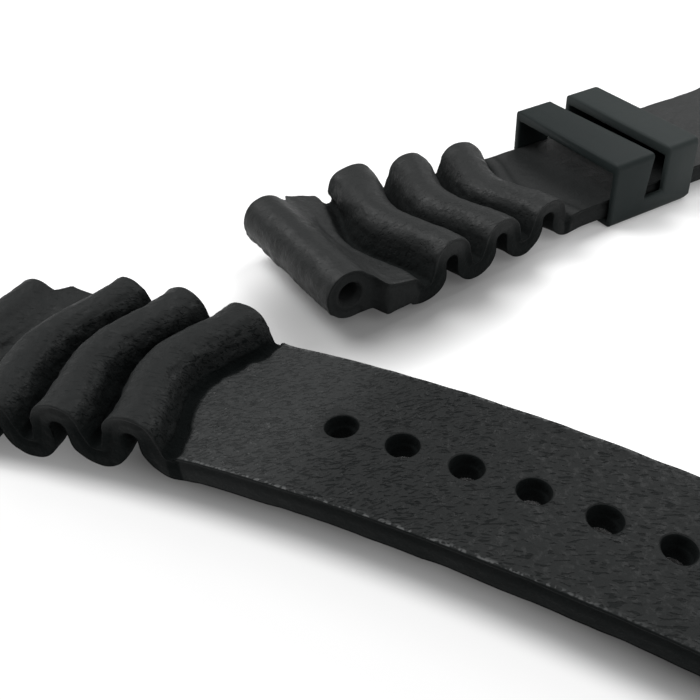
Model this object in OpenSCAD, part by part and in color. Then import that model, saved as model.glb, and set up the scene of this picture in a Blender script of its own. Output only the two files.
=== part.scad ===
// Silicone diver's watch strap in two halves, with accordion folds, a double keeper and a pin buckle.
// The origin is the middle of the buckle half's lug bore. +X runs along that half towards the buckle,
// +Y along the lug bore and +Z out of the wrist. The tail half lies beside it, turned about Z.

/* [Lug end] */
// Gap between the watch's lugs
lug_gap = 22; // [18:0.5:24]
// How much shorter the lug tube is than that gap
lug_play = 0.1; // [0.05:0.05:0.4]
// Outer radius of the lug tube
tube_r = 3.3; // [2.9:0.1:3.8]
// Radius of the bore for the watch's spring bar
bore_r = 1.35; // [0.8:0.05:1.5]
// Height of the bore's axis above the strap's underside
bore_h = 4.3; // [4:0.1:4.8]
// Distance from the bore's axis to the shoulder behind the lugs
shoulder_x = 4.6; // [4.4:0.1:5]
// Width of the shoulder, the strap's widest place
shoulder_w = 25.8; // [24.6:0.1:28]
// Height of the web where it leaves the tube
web_h = 4.5; // [4.2:0.1:5]
// Distance from the bore's axis to the low ridge
ridge_x = 7.9; // [7.6:0.1:8.2]
// Height of the low ridge
ridge_h = 4.9; // [4.6:0.1:5.6]
// Radius of the ridge's crest
ridge_r = 1.1; // [0.8:0.1:1.2]

/* [Folds] */
// Number of accordion folds
fold_count = 3; // [2:1:3]
// Distance from one fold to the next
fold_pitch = 8.5; // [8.2:0.1:9.2]
// Distance from the bore's axis to the first fold's crest
first_fold = 14.5; // [14.2:0.1:15.5]
// Height of the first fold
fold_h = 7.5; // [7:0.1:8.5]
// How much lower each next fold is on the tail half
tail_fold_drop = 0.2; // [0:0.05:0.4]
// How much lower each next fold is on the buckle half
buckle_fold_drop = 0.45; // [0:0.05:0.5]
// How far the folds bow towards the lugs in the middle
fold_bow = 2.6; // [1:0.1:3]
// Radius of a fold's crest
crest_r = 2.9; // [2.2:0.1:3.1]
// Thickness of a fold's wall at its foot
fold_wall = 2.3; // [1.8:0.1:2.4]
// Thickness of rubber over the slot inside a fold
slot_roof = 2.4; // [2:0.1:2.8]
// Width of the slot inside a fold
slot_w = 1.9; // [1.4:0.1:2.2]
// Thickness of the valley floor between folds
floor_t = 2.3; // [1.8:0.1:2.6]
// Rounding of a valley's underside
foot_r = 2; // [1:0.1:2.4]
// Fillet between the last fold and the band
root_r = 0.9; // [0.5:0.1:1.5]
// Flat run from that fillet to the plain band
run_out = 2.5; // [2:0.1:4]

/* [Band] */
// Thickness of the band on both halves
band_t = 2.8; // [2.4:0.1:3.2]
// Width where the folds end
waist_w = 19.3; // [18.5:0.1:20]
// Length of the tail half from the bore's axis to the tip, along the band
tail_len = 118; // [112:1:135]
// Width of the tail half at its tip
tip_w = 17.4; // [14:0.1:18]
// Radius to which the tail half arches as it lies
arch_r = 190; // [170:2:400]
// Number of adjusting holes
hole_count = 9; // [5:1:9]
// Distance between holes
hole_pitch = 6.3; // [5:0.1:6.8]
// Distance from the bore's axis to the first hole, along the band
first_hole = 48.5; // [44:0.5:52]
// Radius of a hole
hole_r = 1.3; // [1:0.05:1.4]
// Radius of the wider mouth on top of each hole
mouth_r = 1.6; // [1.5:0.05:1.9]
// Depth of that mouth
mouth_d = 1.2; // [0.4:0.1:1.8]

/* [Buckle end] */
// Distance from the lug bore's axis to the buckle's bar
bar_x = 86; // [74:0.5:90]
// Width of the strap at the bar
end_w = 18.3; // [17:0.1:18.5]
// Outer radius of the strap's end round the bar
end_r = 2.4; // [2.1:0.1:2.6]
// Length of the swelling before the bar
swell_len = 6; // [4:0.5:8]
// Width of the notch for the tongue
notch_w = 3.4; // [3:0.1:4]
// Length of that notch from the bar's axis
notch_len = 8; // [6:0.5:9]

/* [Keeper] */
// Distance from the lug bore's axis to the keeper's front
keeper_x = 42.6; // [42:0.1:46]
// Length of the loop nearer the folds
loop_1 = 6.2; // [5.4:0.1:6.8]
// Gap between the two loops
loop_gap = 3.5; // [2.5:0.1:4]
// Length of the loop nearer the buckle
loop_2 = 5.8; // [5:0.1:6.4]
// Free height above the strip inside the keeper
keeper_room = 4.15; // [4.1:0.05:4.8]
// Thickness of the side walls
keeper_wall = 1; // [0.8:0.05:1.5]
// Thickness of the roof
keeper_roof = 1.6; // [1.2:0.1:2]
// Thickness of the floor
keeper_floor = 1; // [0.8:0.05:1.5]
// Play between the keeper and the strip below and at each side
keeper_play = 0.22; // [0.15:0.01:0.4]
// Height of the joined part of the walls above the keeper's underside
sill_h = 2.9; // [2.2:0.1:4]
// Rounding of the keeper's upper edges
keeper_edge = 1; // [0.6:0.05:1.4]
// Rounding of the keeper's lower back edge
heel_r = 2.6; // [1.5:0.1:2.8]
// How far the first loop's roof reaches over the gap at one end
roof_lip = 1.4; // [0:0.1:1.8]

/* [Buckle] */
// Distance from the bar's axis to the middle of the cross bar
frame_len = 13; // [12:0.5:16]
// Play between the strap's end and each ear
ear_play = 0.35; // [0.2:0.05:0.6]
// Width of each side arm
arm_w = 2.2; // [1.8:0.1:3]
// Length of the cross bar along X
cross_w = 3; // [2.4:0.1:4]
// Thickness of the frame
frame_t = 2; // [1.6:0.1:2.2]
// Outer radius of the ears round the bar
ear_r = 2; // [1.7:0.1:2.2]
// Rounding of the frame's outer corners, seen from above
corner_r = 4; // [2:0.5:5]
// How far the frame drops from the bar to the cross bar
frame_drop = 2.1; // [1.5:0.1:2.3]
// Width of the tongue
tongue_w = 2.2; // [1.8:0.1:2.4]
// Thickness of the tongue
tongue_t = 1.2; // [1:0.1:1.5]
// Outer radius of the tongue's eye
eye_r = 1.8; // [1.6:0.1:2]

/* [Spring bar] */
// Outer radius of the bar's tube
bar_r = 0.9; // [0.8:0.02:1]
// Thickness of that tube
bar_wall = 0.25; // [0.2:0.01:0.28]
// Radius of a plunger's tip
tip_r = 0.45; // [0.35:0.01:0.5]
// Length of a plunger inside the tube
plunger_len = 3; // [2.5:0.1:3.4]
// Length of a plunger's tip in the ear
tip_seat = 1.2; // [0.9:0.05:1.3]
// Radial running clearance of every round fit
run_play = 0.05; // [0.03:0.01:0.08]
// Curls of the spring
curl_count = 13; // [8:1:14]
// Wire radius of the spring
wire_r = 0.1; // [0.07:0.01:0.11]

/* [Placing] */
// How far the tail half's lug bore lies from the origin along X
tail_x = -40.5; // [-60:0.1:-36]
// The same along Y
tail_y = 6.6; // [0:0.1:12]
// Turn of the tail half about Z
tail_turn = -60; // [-75:0.5:-45]

/* [Hidden] */
rubber = [0.05, 0.055, 0.055];
rubber_smooth = [0.06, 0.075, 0.08];
steel = [0.72, 0.73, 0.75];
steel_dark = [0.5, 0.51, 0.53];
$fn = 64;
eps = 0.01;
cut = 1;

tube_len = lug_gap - lug_play;
fold_half = slot_w / 2 + fold_wall;
valley_r = (fold_pitch - 2 * fold_half) / 2;
last_fold = first_fold + (fold_count - 1) * fold_pitch;
root_x = last_fold + fold_half + root_r;
band_x = root_x + run_out;
// The web's top starts inside the tube, this far along and above the bore's axis
web_in = 2;
web_rise = 1.2;
groove_h = floor_t + 1.5;
ridge_slope = 0.8;
ridge_bow = fold_bow / 2;
underside_z = -bore_h;
blank_w = shoulder_w + 2 * cut;
// How far a fillet's arc dips below the face that it meets
foot_dip = 0.2;

function fold_x(i) = first_fold + i * fold_pitch;
function fold_top(i, drop) = fold_h - i * drop;

// Extrudes an outline in X and Z along Y
module across(w) {
    translate([0, w / 2, 0]) rotate([90, 0, 0]) linear_extrude(w) children();
}
module upright(h) {
    translate([0, 0, -h / 2]) linear_extrude(h) children();
}
// Sweeps an outline in X and Z across the strap, on an arc whose middle lies nearer the lugs
module bowed(bow) {
    r = (bow * bow + shoulder_w * shoulder_w / 4) / (2 * bow);
    spread = asin(blank_w / 2 / (r - fold_pitch));
    translate([r - bow, 0, 0]) rotate([0, 0, 180 - spread]) rotate_extrude(angle = 2 * spread)
        translate([r, 0]) mirror([1, 0]) children();
}

// The tail half's arch: both its lug tube and its tip touch the table
turn_all = tail_len / arch_r * 180 / PI;
rise = arch_r + bore_h - arch_r * cos(turn_all);
run = arch_r * sin(turn_all);
lug_tilt = atan2(rise, run) - asin(tube_r / norm([rise, run]));
function arch_angle(x) = x / arch_r * 180 / PI - lug_tilt;
arch_bore = (arch_r + bore_h) * [sin(arch_angle(0)), cos(arch_angle(0))];
tip_x = arch_r * sin(arch_angle(tail_len)) - arch_bore[0];
keeper_bottom = underside_z - keeper_play - keeper_floor;
tail_z = keeper_bottom + tube_r;

// Puts things on the underside at a distance x from the bore, on a flat or an arched half
module on_underside(x, arch) {
    if (arch) translate([-arch_bore[0], 0, -arch_bore[1]]) rotate([0, arch_angle(x), 0])
        translate([0, 0, arch_r]) children();
    else translate([x, 0, underside_z]) children();
}
// A layer of the strap, from x0 to x1 along the underside
module layer(x0, x1, t, arch) {
    if (arch) translate([-arch_bore[0], 0, -arch_bore[1]]) across(blank_w) intersection() {
        difference() {
            circle(r = arch_r + t, $fn = 720);
            circle(r = arch_r, $fn = 720);
        }
        polygon([[0, 0], for (x = [x0, x1]) 2 * arch_r * [sin(arch_angle(x)), cos(arch_angle(x))]]);
    }
    else translate([x0, 0, underside_z]) across(blank_w) square([x1 - x0, t]);
}

// Solid outline of a fold, with a fillet at each foot
module fold_outline(h) {
    foot_z = floor_t - foot_dip;
    translate([0, h - crest_r]) circle(r = crest_r);
    polygon([[-crest_r, h - crest_r], [crest_r, h - crest_r], [fold_half, foot_z + valley_r],
        [fold_half, floor_t / 2], [-fold_half, floor_t / 2], [-fold_half, foot_z + valley_r]]);
    for (s = [0, 1]) mirror([s, 0]) difference() {
        translate([fold_half - eps, floor_t / 2]) square([valley_r, foot_z + valley_r - floor_t / 2]);
        translate([fold_half + valley_r, foot_z + valley_r]) circle(r = valley_r);
    }
}
// Outline of the slot inside a fold, flared where it opens below
module slot_outline(h) {
    top = h - slot_roof - slot_w / 2;
    translate([0, top]) circle(r = slot_w / 2);
    translate([-slot_w / 2, -cut]) square([slot_w, top + cut]);
    for (s = [0, 1]) mirror([s, 0]) difference() {
        translate([0, -cut]) square([slot_w / 2 + foot_r, foot_r - foot_dip + cut]);
        translate([slot_w / 2 + foot_r, foot_r - foot_dip]) circle(r = foot_r);
    }
}
module ridge_outline() {
    z = ridge_h - ridge_r;
    translate([0, z]) circle(r = ridge_r);
    polygon([[-ridge_r, z], [ridge_r, z], [ridge_r + ridge_slope, floor_t / 2], [-ridge_r, floor_t / 2]]);
}

// Side outline of the web that joins the lug tube to the ridge, on the underside's frame
module web_outline() {
    under = bore_h - tube_r + foot_dip;
    polygon([[0, under], [web_in, bore_h + web_rise], [shoulder_x, web_h],
        [ridge_x - ridge_r, groove_h], [ridge_x, under]]);
}
// Fillet from the last fold down to the band
module root_outline() {
    difference() {
        translate([0, band_t / 2]) square([fold_half + root_r, band_t / 2 + root_r]);
        translate([fold_half + root_r, band_t + root_r - foot_dip]) circle(r = root_r);
    }
}

// Lug tube, web, ridge and folds, uncut at the sides
module folded_part(drop, arch) {
    rotate([90, 0, 0]) cylinder(r = tube_r, h = blank_w, center = true);
    on_underside(0, arch) across(blank_w) web_outline();
    on_underside(ridge_x, arch) bowed(ridge_bow) ridge_outline();
    layer(shoulder_x, last_fold, floor_t, arch);
    for (i = [0 : fold_count - 1])
        on_underside(fold_x(i), arch) bowed(fold_bow) fold_outline(fold_top(i, drop));
    on_underside(last_fold, arch) bowed(fold_bow) root_outline();
}
module fold_slots(drop, arch) {
    for (i = [0 : fold_count - 1])
        on_underside(fold_x(i), arch) bowed(fold_bow) slot_outline(fold_top(i, drop));
}

// Plan outline that both halves share up to the band
module lug_plan(x_end, w_end) {
    polygon([[-tube_r - cut, -tube_len / 2], [shoulder_x, -tube_len / 2], [shoulder_x, -shoulder_w / 2],
        [band_x, -waist_w / 2], [x_end, -w_end / 2], [x_end, w_end / 2], [band_x, waist_w / 2],
        [shoulder_x, shoulder_w / 2], [shoulder_x, tube_len / 2], [-tube_r - cut, tube_len / 2]]);
}
module lug_bore() {
    rotate([90, 0, 0]) cylinder(r = bore_r, h = blank_w + 2 * cut, center = true);
}

bar_h = end_r;
bar_z = underside_z + bar_h;
end_bore_r = bar_r + run_play;
module buckle_strap() {
    end_x = bar_x + end_r + cut;
    color(rubber) difference() {
        intersection() {
            union() {
                folded_part(buckle_fold_drop, false);
                translate([0, 0, underside_z]) across(blank_w) {
                    translate([last_fold, 0]) square([bar_x - last_fold, band_t]);
                    translate([bar_x, bar_h]) circle(r = end_r);
                    polygon([[bar_x - swell_len, band_t / 2], [bar_x - swell_len, band_t],
                        [bar_x, 2 * end_r], [bar_x, band_t / 2]]);
                }
            }
            upright(8 * tube_r) lug_plan(end_x, end_w);
        }
        fold_slots(buckle_fold_drop, false);
        lug_bore();
        translate([bar_x, 0, bar_z]) rotate([90, 0, 0])
            cylinder(r = end_bore_r, h = blank_w, center = true);
        translate([bar_x - notch_len, -notch_w / 2, underside_z - cut])
            cube([notch_len + end_r + cut, notch_w, 2 * end_r + 2 * cut]);
    }
}

module tail_strap() {
    round_x = tip_x - tip_w / 2;
    color(rubber) translate([tail_x, tail_y, tail_z]) rotate([0, 0, tail_turn]) difference() {
        intersection() {
            union() {
                folded_part(tail_fold_drop, true);
                layer(last_fold, tail_len + band_t, band_t, true);
            }
            upright(tail_len) {
                lug_plan(round_x, tip_w);
                translate([round_x, 0]) circle(r = tip_w / 2);
            }
        }
        fold_slots(tail_fold_drop, true);
        lug_bore();
        for (i = [0 : hole_count - 1]) on_underside(first_hole + i * hole_pitch, true) {
            translate([0, 0, -cut]) cylinder(r = hole_r, h = band_t + 2 * cut);
            translate([0, 0, band_t - mouth_d]) cylinder(r = mouth_r, h = mouth_d + cut);
        }
    }
}

// The keeper's sizes follow the strip's
keeper_len = loop_1 + loop_gap + loop_2;
keeper_in_w = waist_w + 2 * keeper_play;
keeper_w = keeper_in_w + 2 * keeper_wall;
keeper_h = keeper_floor + keeper_play + band_t + keeper_room + keeper_roof;
module rounded(w, h, r) {
    for (x = [r, w - r]) for (y = [r, h - r]) translate([x, y]) circle(r = r);
    translate([r, 0]) square([w - 2 * r, h]);
    translate([0, r]) square([w, h - 2 * r]);
}
// Extrudes an outline in Y and Z along X
module along(len) {
    rotate([90, 0, 90]) linear_extrude(len) children();
}
module keeper() {
    in_h = keeper_play + band_t + keeper_room;
    roof_z = keeper_h - keeper_roof;
    color(rubber_smooth) translate([keeper_x, 0, keeper_bottom]) difference() {
        intersection() {
            along(keeper_len) translate([-keeper_w / 2, 0]) rounded(keeper_w, keeper_h, keeper_edge);
            across(keeper_w + 2 * cut) {
                translate([0, keeper_edge]) square([keeper_len, keeper_h - keeper_edge]);
                translate([keeper_edge, 0]) square([keeper_len - keeper_edge - heel_r, heel_r]);
                translate([keeper_edge, keeper_edge]) circle(r = keeper_edge);
                intersection() {
                    translate([keeper_len - heel_r, heel_r]) circle(r = heel_r);
                    translate([keeper_len - heel_r, 0]) square(heel_r);
                }
            }
        }
        translate([-cut, -keeper_in_w / 2, keeper_floor]) cube([keeper_len + 2 * cut, keeper_in_w, in_h]);
        translate([loop_1, -keeper_w, sill_h]) cube([loop_gap, 2 * keeper_w, roof_z - sill_h + eps]);
        translate([0, 0, roof_z]) linear_extrude(keeper_roof + cut)
            polygon([[loop_1 + roof_lip, -keeper_w / 2 - cut], [loop_1, keeper_w / 2 + cut],
                [loop_1 + loop_gap, keeper_w / 2 + cut], [loop_1 + loop_gap, -keeper_w / 2 - cut]]);
    }
}

ear_in = end_w / 2 + ear_play;
frame_w = 2 * (ear_in + arm_w);
frame_end = frame_len + cross_w / 2;
ear_hole_r = tip_r + run_play;
// Side outline of the frame: an ear round the bar, then an arm that curves down to the cross bar
arm_r = (frame_len * frame_len + frame_drop * frame_drop) / (2 * frame_drop);
module frame_side() {
    circle(r = ear_r);
    intersection() {
        translate([0, -arm_r]) difference() {
            circle(r = arm_r + frame_t / 2, $fn = 360);
            circle(r = arm_r - frame_t / 2, $fn = 360);
        }
        translate([0, -2 * frame_len]) square([frame_end + cut, 3 * frame_len]);
    }
}
module frame_plan() {
    start_x = -ear_r - cut;
    round_x = frame_end - corner_r;
    difference() {
        union() {
            translate([start_x, -frame_w / 2]) square([round_x - start_x, frame_w]);
            translate([round_x - cut, -frame_w / 2 + corner_r])
                square([corner_r + cut, frame_w - 2 * corner_r]);
            for (s = [-1, 1]) translate([round_x, s * (frame_w / 2 - corner_r)]) circle(r = corner_r);
        }
        translate([start_x - cut, -ear_in]) square([frame_len - cross_w / 2 - start_x + cut, 2 * ear_in]);
    }
}
module buckle_frame() {
    color(steel) translate([bar_x, 0, bar_z]) difference() {
        intersection() {
            across(frame_w + 2 * cut) frame_side();
            upright(6 * ear_r) frame_plan();
        }
        for (s = [-1, 1]) translate([0, s * (ear_in + tip_seat / 2), 0]) rotate([90, 0, 0])
            cylinder(r = ear_hole_r, h = tip_seat + 2 * run_play + 2 * eps, center = true);
    }
}

// The tongue lies on the cross bar and reaches just past it
tongue_gap = 0.05;
tongue_past = 0.6;
tongue_reach = frame_end + tongue_past;
module buckle_tongue() {
    drop_r = arm_r + frame_t / 2 + tongue_gap;
    color(steel) translate([bar_x, 0, bar_z]) difference() {
        across(tongue_w) {
            circle(r = eye_r);
            intersection() {
                translate([0, -arm_r]) difference() {
                    circle(r = drop_r + tongue_t, $fn = 360);
                    circle(r = drop_r, $fn = 360);
                }
                translate([0, -2 * frame_len]) square([tongue_reach - tongue_t / 2, 3 * frame_len]);
            }
            tip_a = asin((tongue_reach - tongue_t / 2) / (drop_r + tongue_t / 2));
            translate([0, -arm_r]) rotate(-tip_a) translate([0, drop_r + tongue_t / 2])
                circle(r = tongue_t / 2);
        }
        rotate([90, 0, 0]) cylinder(r = bar_r + run_play, h = tongue_w + 2 * cut, center = true);
    }
}

// The spring bar: a tube with rolled-in ends, a plunger at each end and a spring between them
bar_inset = 0.15;
bar_len = end_w - 2 * bar_inset;
bar_in_r = bar_r - bar_wall;
lip_len = 0.4;
lip_r = tip_r + run_play;
plunger_r = bar_in_r - run_play;
plunger_y = bar_len / 2 - lip_len;
tip_end = ear_in + tip_seat;
module bar_tube() {
    color(steel) translate([bar_x, 0, bar_z]) rotate([90, 0, 0]) difference() {
        cylinder(r = bar_r, h = bar_len, center = true);
        cylinder(r = lip_r, h = bar_len + 2 * cut, center = true);
        cylinder(r = bar_in_r, h = bar_len - 2 * lip_len, center = true);
    }
}
module plunger() {
    translate([0, plunger_y - plunger_len, 0]) rotate([-90, 0, 0]) cylinder(r = plunger_r, h = plunger_len);
    translate([0, plunger_y - eps, 0]) rotate([-90, 0, 0])
        cylinder(r = tip_r, h = tip_end - plunger_y + eps);
}
module bar_plunger_left() {
    color(steel_dark) translate([bar_x, 0, bar_z]) plunger();
}
module bar_plunger_right() {
    color(steel_dark) translate([bar_x, 0, bar_z]) mirror([0, 1, 0]) plunger();
}

// The spring's wire: straight for one wire thickness at each end, and curls between
rings_per_curl = 8;
spring_play = 0.02;
coil_r = plunger_r - wire_r - spring_play;
spring_half = plunger_y - plunger_len - spring_play;
coil_half = spring_half - 2 * wire_r;
ring_total = curl_count * rings_per_curl;
function coil_point(t) = let (a = 360 * t / rings_per_curl)
    [coil_r * cos(a), -coil_half + 2 * coil_half * t / ring_total, coil_r * sin(a)];
wire_path = concat([[coil_r, -spring_half, 0]], [for (t = [0 : ring_total]) coil_point(t)],
    [[coil_r, spring_half, 0]]);
wire_sides = 6;
module bar_spring() {
    n = len(wire_path);
    rings = [for (i = [0 : n - 1]) let (
        along_wire = i == 0 || i == n - 1 ? [0, 1, 0] :
            let (d = wire_path[i + 1] - wire_path[i - 1]) d / norm(d),
        out = let (p = wire_path[i], q = [p[0], 0, p[2]]) q / norm(q),
        side = cross(along_wire, out),
        flat_out = cross(side, along_wire))
        for (k = [0 : wire_sides - 1]) let (a = 360 * k / wire_sides)
            wire_path[i] + wire_r * (cos(a) * flat_out / norm(flat_out) + sin(a) * side / norm(side))];
    walls = [for (i = [0 : n - 2]) for (k = [0 : wire_sides - 1])
        let (a = i * wire_sides + k, b = i * wire_sides + (k + 1) % wire_sides)
        each [[a, a + wire_sides, b], [b, a + wire_sides, b + wire_sides]]];
    start_cap = [for (k = [1 : wire_sides - 2]) [0, k, k + 1]];
    last = (n - 1) * wire_sides;
    end_cap = [for (k = [1 : wire_sides - 2]) [last, last + k + 1, last + k]];
    color(steel_dark) translate([bar_x, 0, bar_z])
        polyhedron(rings, concat(walls, start_cap, end_cap));
}
// Least gap between one curl and the next, measured on the wire's points
curl_gap = min([for (i = [0 : len(wire_path) - 1]) for (k = [i + rings_per_curl / 2 : len(wire_path) - 1])
    norm(wire_path[i] - wire_path[k])]) - 2 * wire_r;
echo(spring_least_gap_mm = curl_gap);

buckle_strap();
tail_strap();
keeper();
buckle_frame();
buckle_tongue();
bar_tube();
bar_spring();
bar_plunger_left();
bar_plunger_right();
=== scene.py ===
# %% [markdown]
# # A silicone diver's watch strap
# The strap lies in two halves on a white table. Each half is one moulding of black silicone: a tube
# for the watch's spring bar, a web with a low ridge, three accordion folds and a flat band. The
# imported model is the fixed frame, and this lesson builds the soft halves, the keeper and the
# polished buckle around it, in the same place and at the same size.

# %% Load the frame
import math
import bmesh
import bpy
import numpy as np
from mathutils import Matrix, Vector, geometry


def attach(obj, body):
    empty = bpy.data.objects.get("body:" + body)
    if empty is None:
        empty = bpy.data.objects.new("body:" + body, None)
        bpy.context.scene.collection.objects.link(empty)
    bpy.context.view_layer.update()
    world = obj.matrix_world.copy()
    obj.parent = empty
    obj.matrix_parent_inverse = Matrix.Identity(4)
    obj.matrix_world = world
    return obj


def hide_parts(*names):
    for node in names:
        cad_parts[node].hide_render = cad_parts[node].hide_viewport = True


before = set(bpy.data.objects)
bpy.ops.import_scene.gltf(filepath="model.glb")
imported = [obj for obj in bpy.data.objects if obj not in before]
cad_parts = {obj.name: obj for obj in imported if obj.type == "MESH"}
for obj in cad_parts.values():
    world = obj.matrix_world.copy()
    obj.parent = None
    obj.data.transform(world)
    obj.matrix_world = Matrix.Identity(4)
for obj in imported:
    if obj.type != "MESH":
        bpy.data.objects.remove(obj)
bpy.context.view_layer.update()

MM = 0.001

# %% [markdown]
# ## Sizes
# All sizes are in millimetres, as a mould maker would write them. x runs along a half from the
# middle of its lug bore, z is the height above its underside, and y runs across.

# %% Sizes of both halves
# The lug end: its tube and bore, its shoulder, and the low ridge on its web
bore_z, tube_r, bore_r = 4.3, 3.3, 1.35
tube_half, shoulder_half, shoulder_x = 10.95, 12.9, 4.0
ridge_x, ridge_z, ridge_r, web_z = 8.2, 3.2, 1.1, 0.8
# The folds: their row, the crest, the slot inside, the feet and the walls
first_fold, fold_pitch, fold_count, fold_h = 14.5, 8.5, 3, 7.5
crest_r, crest_lean, slot_half, slot_z = 3.0, 0.1, 0.95, 4.15
foot_h, floor_t, band_t, groove_z, wall_t, root_r = 2.9, 2.5, 2.8, 3.8, 2.6, 0.3
bow_depth = 3.1
# The waist, the tail's length and tip, the radius of its arch, and its row of holes
waist_x, waist_half = 38.15, 9.65
tail_len, tip_half, arch_r = 118.0, 8.7, 190.0
first_hole, hole_pitch, hole_count = 48.5, 6.3, 9
# The buckle half's thick end round the bar, and the notch for the tongue
bar_x, end_r, bar_hole_r, end_half = 86.0, 2.4, 0.95, 9.15
notch_half, notch_len = 1.7, 8.0
table_z = -5.52
half_pitch = fold_pitch / 2
band_x = first_fold + (fold_count - 0.5) * fold_pitch

# %% [markdown]
# ## The blank
# A swept solid is easiest to steer when it starts flat, straight and equally wide. So every module
# of a half (lug end, fold, hole, band) is first made as a blank: its side outline carried across a
# row of stations. A subdivided box would be quicker, but it would lose the narrow slots of the
# folds. The two side faces need more care, because there the real moulding has a soft edge and,
# just under its top skin, a shallow gap that shows as a dark line. Each side face is a fine
# triangle mesh, and every point of it stands back by an amount that depends only on its distance
# from the edges.

# %% Stations across the blank
blank_half, edge_r, cell, block_cells, outer_count = 10.0, 0.14, 0.35, 12, 20
middle = (np.arange(block_cells + 1) - block_cells / 2) * cell
outer = np.linspace(middle[-1], blank_half - edge_r, outer_count + 1)[1:]
stations = np.concatenate([-outer[::-1], middle, outer])
last_row = len(stations) - 1
block_rows = range(len(outer), len(outer) + block_cells)
print(len(stations), "stations across")


# %% Helpers for outlines
def arc(cx, cz, r, start, end, step=0.33):
    """Points on an arc, from one angle to the other in degrees, both ends included."""
    n = max(2, round(abs(math.radians(end - start)) * r / step))
    a = np.radians(np.linspace(start, end, n + 1))
    return [(cx + r * math.cos(t), cz + r * math.sin(t)) for t in a]


def chain(corners, step=0.33):
    """Straight runs of close points through the corners, both ends included."""
    points = []
    for p, q in zip(corners, corners[1:]):
        n = max(1, round(math.dist(p, q) / step))
        points += [(p[0] + (q[0] - p[0]) * i / n, p[1] + (q[1] - p[1]) * i / n) for i in range(n)]
    return points + [tuple(corners[-1])]


def joined(*runs):
    """One run from several that touch end to end."""
    points = []
    for run in runs:
        points += [tuple(p) for p in run if not points or math.dist(points[-1], p) > 1e-6]
    return points


def softened(points, passes):
    """Rounds the corners of a run of points and keeps its ends."""
    p = np.array(points, float)
    for _ in range(passes):
        p[1:-1] = (p[:-2] + 2 * p[1:-1] + p[2:]) / 4
    return [tuple(q) for q in p]


# %% Helpers for the side faces
def distance(points, runs):
    """Distance from each point to the nearest segment of some runs of points."""
    points = np.array(points, float).reshape(-1, 2)
    best = np.full(len(points), 1e9)
    for run in runs:
        run = np.array(run, float)
        a, d = run[:-1], run[1:] - run[:-1]
        p = points[:, None] - a[None]
        t = np.clip((p * d).sum(2) / np.maximum((d * d).sum(1), 1e-12), 0, 1)
        best = np.minimum(best, np.linalg.norm(p - t[..., None] * d, axis=2).min(1))
    return best


def within(points, loops):
    """Which points lie inside the loops, by counting crossings."""
    inside = np.zeros(len(points), bool)
    for loop in loops:
        p = np.array(loop, float)
        for a, b in zip(p, np.roll(p, -1, axis=0)):
            if a[1] != b[1]:
                level = (points[:, 1] > min(a[1], b[1])) & (points[:, 1] <= max(a[1], b[1]))
                cross = a[0] + (points[:, 1] - a[1]) * (b[0] - a[0]) / (b[1] - a[1])
                inside ^= level & (points[:, 0] < cross)
    return inside


def smooth(v, low, high):
    t = np.clip((np.asarray(v, float) - low) / (high - low), 0, 1)
    return t * t * (3 - 2 * t)


# %% How far a side face stands back
# The gap under the top skin: how deep it and the wall below it are, and how far down each begins
undercut, lower_step, draft = 0.32, 0.12, 0.03
gap_down, step_down, draft_down = (0.1, 0.7), (0.82, 1.25), 1.2
ring_depths, border_middle = (0.03, 0.14, 0.4, 0.66, 0.86, 1.2), 0.7


def side_y(edge, top):
    """Half width of the blank at a distance from any edge and from the upper skin."""
    e = np.clip(edge, 0, edge_r)
    back = np.sqrt(np.maximum(edge_r ** 2 - (edge_r - e) ** 2, 0)) - edge_r
    gap = undercut * smooth(top, *gap_down) - (undercut - lower_step) * smooth(top, *step_down)
    return blank_half + back - gap - draft * np.maximum(top - draft_down, 0)


def border(x, t, upwards):
    """The line where two modules join, from the underside to the top or back."""
    depths = [0, *ring_depths]
    heights = depths[:4] + [border_middle] + [t - d for d in reversed(depths)]
    heights = heights if upwards else heights[::-1]
    return [(x, z) for z in heights]


# %% Points inside a side face
grid_step, grid_clear, border_clear, spacing = 0.6, 1.3, 0.12, 0.1


def inner_points(loops, skins, keep_off):
    """Points for a side face: rings at fixed depths, and a loose grid further in."""
    found = []
    for run in skins:
        run = np.array(run, float)
        along = np.gradient(run, axis=0)
        along /= np.maximum(np.linalg.norm(along, axis=1), 1e-9)[:, None]
        for depth in ring_depths:
            ring = run + np.stack([-along[:, 1], along[:, 0]], 1) * depth
            found.append(ring[distance(ring, skins) > depth * 0.97])
    rim = np.array(loops[0], float)
    low, high = rim.min(0), rim.max(0)
    grid = np.array([(x, z) for x in np.arange(low[0], high[0], grid_step)
                     for z in np.arange(low[1], high[1], grid_step)])
    found.append(grid[distance(grid, skins) > grid_clear])
    points = np.concatenate(found)
    points = points[within(points, loops)]
    points = points[distance(points, keep_off) > border_clear]
    kept, cells = [], {}
    for q in points:
        key = (int(q[0] // spacing), int(q[1] // spacing))
        near = [cells.get((key[0] + a, key[1] + b)) for a in (-1, 0, 1) for b in (-1, 0, 1)]
        if all(m is None or math.dist(kept[m], q) > spacing for m in near):
            cells[key] = len(kept)
            kept.append(tuple(q))
    return kept


# %% The skin of a module
# The grain of a point runs from 0, smooth, to 1, pebbly. Below 0 it marks the inside of a hole,
# which the rubber darkens with painted shade
side_grain, smooth_grain, crest_grain, throat_grain = 0.15, 0.1, 0.45, -0.3


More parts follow.
